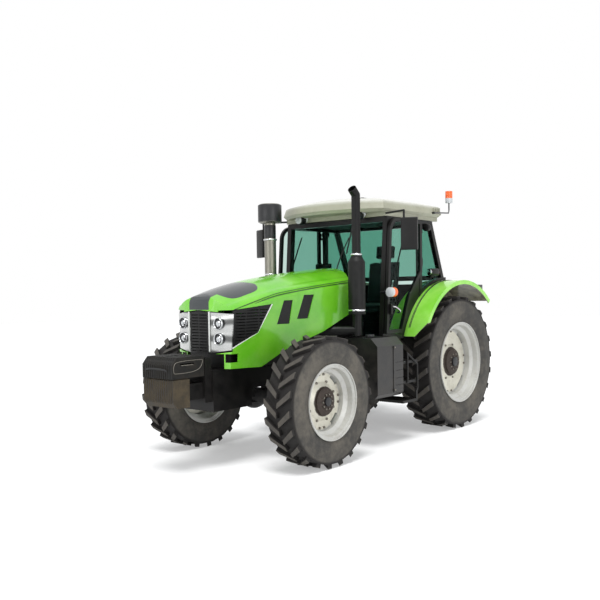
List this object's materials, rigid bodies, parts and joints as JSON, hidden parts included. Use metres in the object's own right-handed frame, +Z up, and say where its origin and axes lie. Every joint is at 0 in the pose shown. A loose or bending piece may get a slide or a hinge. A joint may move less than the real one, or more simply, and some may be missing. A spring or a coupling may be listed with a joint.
{
  "type": "four-wheel-drive farm tractor",
  "caption": "Farm tractor with a cab, opening hood and doors, steered front wheels, rolling lugged wheels, rear three-point linkage and stacked front weights.",
  "frame": {"origin": "on the ground, under the middle of the tractor's overall length and width", "axes": "+Z up, -Y forwards, +X to the driver's left"},
  "size_m": [2.4734, 5.19, 3.055],
  "materials": {
    "green_paint": "gloss",
    "green_plastic": "gloss",
    "black_paint": "satin",
    "black_plastic": "matt",
    "weight_iron": "matt",
    "engine_iron": "matt",
    "tyre_rubber": "matt",
    "rim_silver": "gloss",
    "tinted_glass": "clear",
    "roof_white": "satin",
    "exhaust_black": "satin",
    "intake_steel": "brushed",
    "lamp_clear": "clear",
    "lamp_amber": "clear",
    "mirror_black": "matt",
    "seat_cloth": "matt",
    "steel": "satin"
  },
  "bodies": {
    "chassis": {"front_axle_beam": "black_paint", "front_frame": "black_paint", "front_weights": "weight_iron", "engine_block": "engine_iron", "radiator": "black_paint", "transmission_housing": "black_paint", "cab_tub": "black_paint", "cab_frame": "black_paint", "cab_windows": "tinted_glass", "cab_roof": "roof_white", "fender_left": "green_plastic", "fender_right": "green_plastic", "dashboard_console": "black_plastic", "driver_seat": "seat_cloth", "fuel_tank": "black_plastic", "battery_box": "black_plastic", "access_steps": "black_paint", "exhaust_stack": "exhaust_black", "intake_stack": "intake_steel", "mirrors": "mirror_black", "work_lamps": "lamp_clear", "signal_lamps": "lamp_amber", "drawbar": "black_paint"},
    "hood": {"hood_shell": "green_plastic", "hood_side_grilles": "black_plastic", "front_grille": "black_plastic", "headlamps": "lamp_clear"},
    "door_left": {"door_frame_left": "black_paint", "door_glass_left": "tinted_glass"},
    "door_right": {"door_frame_right": "black_paint", "door_glass_right": "tinted_glass"},
    "knuckle_left": {"knuckle_left": "black_paint"},
    "knuckle_right": {"knuckle_right": "black_paint"},
    "steering_rod": {"steering_rod": "steel"},
    "steering_wheel": {"steering_wheel": "black_plastic"},
    "wheel_front_left": {"tyre_front_left": "tyre_rubber", "rim_front_left": "rim_silver"},
    "wheel_front_right": {"tyre_front_right": "tyre_rubber", "rim_front_right": "rim_silver"},
    "wheel_rear_left": {"tyre_rear_left": "tyre_rubber", "rim_rear_left": "rim_silver"},
    "wheel_rear_right": {"tyre_rear_right": "tyre_rubber", "rim_rear_right": "rim_silver"},
    "lower_links": {"lower_links": "black_paint"},
    "lift_rods": {"lift_rods": "black_paint"},
    "lift_arms": {"lift_arms": "black_paint"},
    "top_link": {"top_link": "black_paint"},
    "pto_shaft": {"pto_shaft": "steel"}
  },
  "joints": [
    {"name": "hood_hinge", "type": "hinge", "parent": "chassis", "child": "hood", "pos_m": [0, 0.01, 1.995], "axis": [-1, 0, 0], "range_deg": [0, 40]},
    {"name": "door_left_hinge", "type": "hinge", "parent": "chassis", "child": "door_left", "pos_m": [0.8, 0.915, 2], "axis": [0, 0, 1], "range_deg": [0, 65]},
    {"name": "door_right_hinge", "type": "hinge", "parent": "chassis", "child": "door_right", "pos_m": [-0.8, 0.915, 2], "axis": [0, 0, -1], "range_deg": [-8, 57]},
    {"name": "steer_left", "type": "hinge", "parent": "chassis", "child": "knuckle_left", "pos_m": [0.7, -1.27, 0.668], "axis": [0, 0, 1], "range_deg": [-35, 35]},
    {"name": "steer_right", "type": "hinge", "parent": "chassis", "child": "knuckle_right", "pos_m": [-0.7, -1.27, 0.668], "axis": [0, 0, 1], "range_deg": [-35, 35]},
    {"name": "steering_rod_slide", "type": "slide", "parent": "chassis", "child": "steering_rod", "axis": [1, 0, 0], "range_m": [-0.1467, 0.1467]},
    {"name": "steering_wheel_turn", "type": "hinge", "parent": "chassis", "child": "steering_wheel", "pos_m": [0, 0.505, 1.752], "axis": [0, 0.5, 0.866], "range_deg": [-490.5, 490.5]},
    {"name": "wheel_front_left_spin", "type": "hinge", "parent": "knuckle_left", "child": "wheel_front_left", "pos_m": [0.93, -1.27, 0.668], "axis": [1, 0, 0], "continuous": true},
    {"name": "wheel_front_right_spin", "type": "hinge", "parent": "knuckle_right", "child": "wheel_front_right", "pos_m": [-0.93, -1.27, 0.668], "axis": [1, 0, 0], "continuous": true},
    {"name": "wheel_rear_left_spin", "type": "hinge", "parent": "chassis", "child": "wheel_rear_left", "pos_m": [0.791, 1.53, 0.85], "axis": [1, 0, 0], "continuous": true},
    {"name": "wheel_rear_right_spin", "type": "hinge", "parent": "chassis", "child": "wheel_rear_right", "pos_m": [-0.791, 1.53, 0.85], "axis": [1, 0, 0], "continuous": true},
    {"name": "lower_link_lift", "type": "hinge", "parent": "chassis", "child": "lower_links", "pos_m": [0, 1.66, 0.62], "axis": [1, 0, 0], "range_deg": [-20, 30]},
    {"name": "lift_arm_turn", "type": "hinge", "parent": "chassis", "child": "lift_arms", "pos_m": [0, 1.66, 1.17], "axis": [1, 0, 0], "range_deg": [-20, 30]},
    {"name": "lift_rod_swing", "type": "hinge", "parent": "lower_links", "child": "lift_rods", "pos_m": [0, 2.08, 0.60576], "axis": [1, 0, 0], "range_deg": [-30, 20]},
    {"name": "top_link_swing", "type": "hinge", "parent": "chassis", "child": "top_link", "pos_m": [0, 1.765, 1.01], "axis": [1, 0, 0], "range_deg": [-71, 34.5]},
    {"name": "pto_shaft_spin", "type": "hinge", "parent": "chassis", "child": "pto_shaft", "pos_m": [0, 1.8, 0.7], "axis": [0, 1, 0], "continuous": true}
  ],
  "couplings": [
    {"joint": "steer_right", "follows": "steer_left", "ratio": 1},
    {"joint": "steering_rod_slide", "follows": "steer_left", "m_per_rad": -0.24},
    {"joint": "steering_wheel_turn", "follows": "steer_left", "ratio": 14},
    {"joint": "lift_arm_turn", "follows": "lower_link_lift", "ratio": 1},
    {"joint": "lift_rod_swing", "follows": "lower_link_lift", "ratio": -1}
  ]
}
